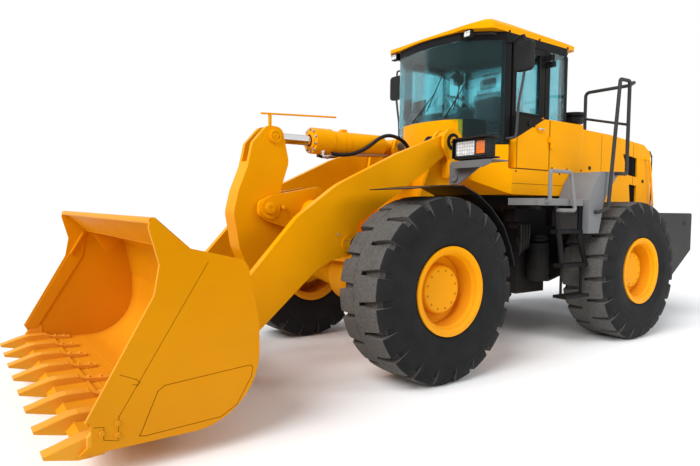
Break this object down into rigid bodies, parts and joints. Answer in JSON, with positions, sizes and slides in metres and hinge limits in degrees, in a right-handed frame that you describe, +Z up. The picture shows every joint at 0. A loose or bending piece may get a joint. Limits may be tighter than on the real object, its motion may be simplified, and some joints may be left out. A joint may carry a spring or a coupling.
{
  "type": "wheel loader",
  "caption": "Articulated wheel loader with a Z-bar boom, toothed bucket, hollow cab with a hinged door, walkways, ladders and a rear counterweight.",
  "frame": {"origin": "on the ground under the middle of the machine's bounding box, between its sides", "axes": "+X forward towards the bucket, +Y to the machine's left, +Z up"},
  "size_m": [8.05, 2.96, 3.425],
  "materials": {
    "yellow_paint": "gloss",
    "dark_paint": "satin",
    "tread_plastic": "matte",
    "tyre_rubber": "matte",
    "tooth_steel": "painted, worn at the tips",
    "pin_steel": "machined",
    "rod_chrome": "polished",
    "window_glass": "clear, lightly tinted",
    "black_plastic": "satin",
    "seat_cloth": "woven",
    "engine_iron": "painted"
  },
  "bodies": {
    "rear_frame": {"rear_chassis": "dark_paint", "rear_axle": "dark_paint", "counterweight": "dark_paint", "engine_block": "engine_iron", "hood": "yellow_paint", "air_cleaner": "black_plastic", "cab_body": "yellow_paint", "cab_glass": "window_glass", "cab_pillars": "dark_paint", "cab_roof": "yellow_paint", "tail_lamps": "black_plastic", "roof_lamps": "black_plastic", "side_grilles": "black_plastic", "driver_seat": "black_plastic", "seat_cushions": "seat_cloth", "driver_controls": "black_plastic", "mirrors": "black_plastic", "platforms": "dark_paint", "ladders": "dark_paint", "rear_fenders": "dark_paint", "side_tanks": "dark_paint", "handrails": "dark_paint", "walkway_rails": "dark_paint"},
    "cab_door": {"cab_door": "yellow_paint", "door_glass": "window_glass"},
    "rear_grille": {"rear_grille": "black_plastic"},
    "front_frame": {"front_chassis": "yellow_paint", "front_axle": "dark_paint", "front_fenders": "tread_plastic", "headlamps": "black_plastic"},
    "boom": {"boom": "yellow_paint", "rocker_pin": "pin_steel", "bucket_pins": "pin_steel"},
    "rocker": {"rocker": "yellow_paint", "link_pin": "pin_steel"},
    "link": {"link": "yellow_paint"},
    "bucket": {"bucket": "yellow_paint", "bucket_teeth": "tooth_steel"},
    "tilt_base_pin": {"tilt_base_pin": "pin_steel"},
    "tilt_barrel": {"tilt_barrel": "yellow_paint"},
    "tilt_stop_tube": {"tilt_stop_tube": "pin_steel"},
    "tilt_rod": {"tilt_rod": "rod_chrome", "level_indicator": "yellow_paint"},
    "lift_barrels": {"lift_barrels": "yellow_paint"},
    "lift_rods": {"lift_rods": "rod_chrome"},
    "wheel_front_left": {"tyre_front_left": "tyre_rubber", "rim_front_left": "yellow_paint"},
    "wheel_front_right": {"tyre_front_right": "tyre_rubber", "rim_front_right": "yellow_paint"},
    "wheel_rear_left": {"tyre_rear_left": "tyre_rubber", "rim_rear_left": "yellow_paint"},
    "wheel_rear_right": {"tyre_rear_right": "tyre_rubber", "rim_rear_right": "yellow_paint"},
    "steer_barrel_left": {"steer_barrel_left": "dark_paint"},
    "steer_rod_left": {"steer_rod_left": "rod_chrome"},
    "steer_barrel_right": {"steer_barrel_right": "dark_paint"},
    "steer_rod_right": {"steer_rod_right": "rod_chrome"}
  },
  "joints": [
    {"name": "steer", "type": "hinge", "parent": "rear_frame", "child": "front_frame", "pos_m": [-0.575, 0, 0.87], "axis": [0, 0, 1], "range_deg": [-35, 35]},
    {"name": "steer_barrel_left", "type": "hinge", "parent": "rear_frame", "child": "steer_barrel_left", "pos_m": [-1.215, 0.3, 0.82], "axis": [0, 0, 1], "range_deg": [-7.43, 7.43]},
    {"name": "steer_rod_left", "type": "slide", "parent": "steer_barrel_left", "child": "steer_rod_left", "axis": [0.9993, 0.0366, 0], "range_m": [-0.19173, 0.19173]},
    {"name": "steer_barrel_right", "type": "hinge", "parent": "rear_frame", "child": "steer_barrel_right", "pos_m": [-1.215, -0.3, 0.82], "axis": [0, 0, 1], "range_deg": [-7.43, 7.43]},
    {"name": "steer_rod_right", "type": "slide", "parent": "steer_barrel_right", "child": "steer_rod_right", "axis": [0.9993, -0.0366, 0], "range_m": [-0.19173, 0.19173]},
    {"name": "boom_lift", "type": "hinge", "parent": "front_frame", "child": "boom", "pos_m": [0.275, 0, 2.16], "axis": [0, -1, 0], "range_deg": [-2, 75]},
    {"name": "bucket_tilt", "type": "hinge", "parent": "boom", "child": "bucket", "pos_m": [2.665, 0, 0.44], "axis": [0, 1, 0], "range_deg": [-31, 100]},
    {"name": "rocker_swing", "type": "hinge", "parent": "boom", "child": "rocker", "pos_m": [2.052, 0, 1.477], "axis": [0, -1, 0], "range_deg": [-9.81, 31.55]},
    {"name": "link_swing", "type": "hinge", "parent": "rocker", "child": "link", "pos_m": [1.933, 0, 0.691], "axis": [0, -1, 0], "range_deg": [-44.05, 13.69]},
    {"name": "tilt_cylinder_lift", "type": "hinge", "parent": "front_frame", "child": "tilt_base_pin", "pos_m": [0.485, 0, 2.14], "axis": [0, -1, 0], "range_deg": [-2.22, 81.42]},
    {"name": "tilt_cylinder_swing", "type": "hinge", "parent": "tilt_base_pin", "child": "tilt_barrel", "pos_m": [0.485, 0, 2.14], "axis": [0, -1, 0], "range_deg": [-4.55, 1.45]},
    {"name": "tilt_rod_lift", "type": "slide", "parent": "tilt_barrel", "child": "tilt_stop_tube", "axis": [1, 0, -0.0067], "range_m": [-0.00463, 0.16644]},
    {"name": "tilt_rod_slide", "type": "slide", "parent": "tilt_stop_tube", "child": "tilt_rod", "axis": [1, 0, -0.0067], "range_m": [-0.35014, 0.10868]},
    {"name": "lift_cylinder_swing", "type": "hinge", "parent": "front_frame", "child": "lift_barrels", "pos_m": [-0.055, 0, 0.78], "axis": [0, -1, 0], "range_deg": [-1.15, 41.36]},
    {"name": "lift_rod_slide", "type": "slide", "parent": "lift_barrels", "child": "lift_rods", "axis": [0.9707, 0, 0.2402], "range_m": [-0.03241, 1.2079]},
    {"name": "wheel_front_left", "type": "hinge", "parent": "front_frame", "child": "wheel_front_left", "pos_m": [0.975, 1.095, 0.8], "axis": [0, 1, 0], "continuous": true},
    {"name": "wheel_front_right", "type": "hinge", "parent": "front_frame", "child": "wheel_front_right", "pos_m": [0.975, -1.095, 0.8], "axis": [0, 1, 0], "continuous": true},
    {"name": "wheel_rear_left", "type": "hinge", "parent": "rear_frame", "child": "wheel_rear_left", "pos_m": [-2.125, 1.095, 0.8], "axis": [0, 1, 0], "continuous": true},
    {"name": "wheel_rear_right", "type": "hinge", "parent": "rear_frame", "child": "wheel_rear_right", "pos_m": [-2.125, -1.095, 0.8], "axis": [0, 1, 0], "continuous": true},
    {"name": "cab_door", "type": "hinge", "parent": "rear_frame", "child": "cab_door", "pos_m": [-1.005, 0.894, 2.26], "axis": [0, 0, 1], "range_deg": [0, 170]},
    {"name": "rear_grille", "type": "hinge", "parent": "rear_frame", "child": "rear_grille", "pos_m": [-3.683, -0.614, 1.925], "axis": [0, 0, 1], "range_deg": [0, 100]}
  ],
  "couplings": [
    {"joint": "steer_barrel_left", "follows": "steer", "ratio": 0.21087},
    {"joint": "steer_rod_left", "follows": "steer", "m_per_rad": -0.31354},
    {"joint": "steer_barrel_right", "follows": "steer", "ratio": 0.21087},
    {"joint": "steer_rod_right", "follows": "steer", "m_per_rad": 0.31354},
    {"joint": "rocker_swing", "follows": "bucket_tilt", "ratio": 0.315},
    {"joint": "link_swing", "follows": "bucket_tilt", "ratio": -0.44},
    {"joint": "tilt_cylinder_lift", "follows": "boom_lift", "ratio": 1.085},
    {"joint": "tilt_cylinder_swing", "follows": "bucket_tilt", "ratio": -0.045},
    {"joint": "tilt_rod_lift", "follows": "boom_lift", "m_per_rad": 0.127},
    {"joint": "tilt_rod_slide", "follows": "bucket_tilt", "m_per_rad": -0.2005},
    {"joint": "lift_cylinder_swing", "follows": "boom_lift", "ratio": 0.5508},
    {"joint": "lift_rod_slide", "follows": "boom_lift", "m_per_rad": 0.92261}
  ]
}
